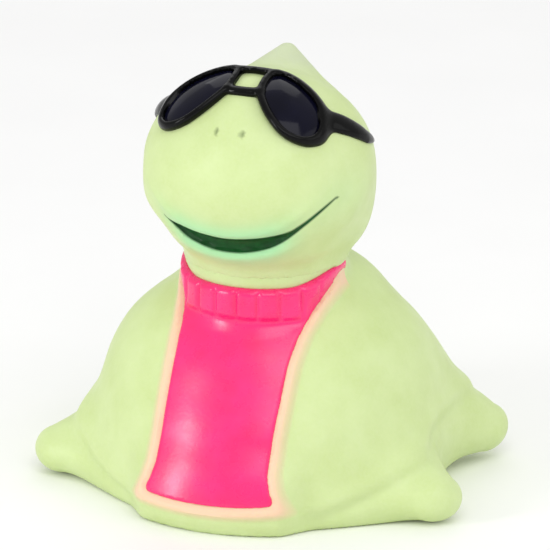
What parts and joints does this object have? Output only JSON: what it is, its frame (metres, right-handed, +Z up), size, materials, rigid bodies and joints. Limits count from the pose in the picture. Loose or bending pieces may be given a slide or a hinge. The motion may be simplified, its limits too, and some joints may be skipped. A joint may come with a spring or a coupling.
{
  "type": "floating pool thermometer",
  "caption": "Hollow vinyl turtle float in sunglasses, with a pink chest panel and a bimetal dial thermometer read through a window in its flat base.",
  "frame": {"origin": "middle of the flat base that the figure stands on", "axes": "+Z up, the figure faces -Y, its left side is +X"},
  "size_m": [0.0742, 0.0657, 0.0727],
  "materials": {
    "glow_vinyl": "soft pale green glow vinyl, satin, slightly translucent, darker green paint in the smile",
    "pink_paint": "glossy hot pink paint on vinyl",
    "black_plastic": "glossy black",
    "dark_lens": "glossy dark navy lens",
    "white_abs": "fine moulded ABS",
    "grey_rubber": "soft grey rubber",
    "zinc_steel": "zinc plated steel",
    "bright_steel": "bright steel",
    "clear_acrylic": "clear acrylic window",
    "tin_plate": "drawn tin plate",
    "dial_print": "white printed scale with black ticks and numbers",
    "brass": "turned brass",
    "bimetal": "rolled bimetal strip",
    "red_paint": "red painted steel"
  },
  "bodies": {
    "float": {"body_shell": "glow_vinyl", "head_shell": "glow_vinyl", "chest_panel": "pink_paint", "sunglasses_frame": "black_plastic", "left_lens": "dark_lens", "right_lens": "dark_lens", "base_cup": "white_abs", "base_gasket": "grey_rubber", "ballast_weight": "zinc_steel", "ballast_screws": "bright_steel", "bezel_ring": "white_abs", "dial_lens": "clear_acrylic", "lens_gasket": "grey_rubber", "dial_case": "tin_plate", "dial_spacer": "white_abs", "dial_plate": "dial_print", "movement_bridge": "brass", "dial_screws": "bright_steel", "front_bush": "brass", "rear_bush": "brass"},
    "calibration": {"calibration_lever": "tin_plate", "coil_stud": "bright_steel", "bimetal_coil": "bimetal"},
    "needle": {"pointer_arbor": "bright_steel", "pointer_hub": "brass", "pointer": "red_paint"}
  },
  "joints": [
    {"name": "calibration_turn", "type": "hinge", "parent": "float", "child": "calibration", "pos_m": [0, 0, 0.0095], "axis": [0, 0, 1], "range_deg": [-12, 12]},
    {"name": "pointer_turn", "type": "hinge", "parent": "calibration", "child": "needle", "pos_m": [0, 0, 0.005], "axis": [0, 0, 1], "range_deg": [-135, 135], "stiffness_Nm_per_rad": 0.00002}
  ]
}
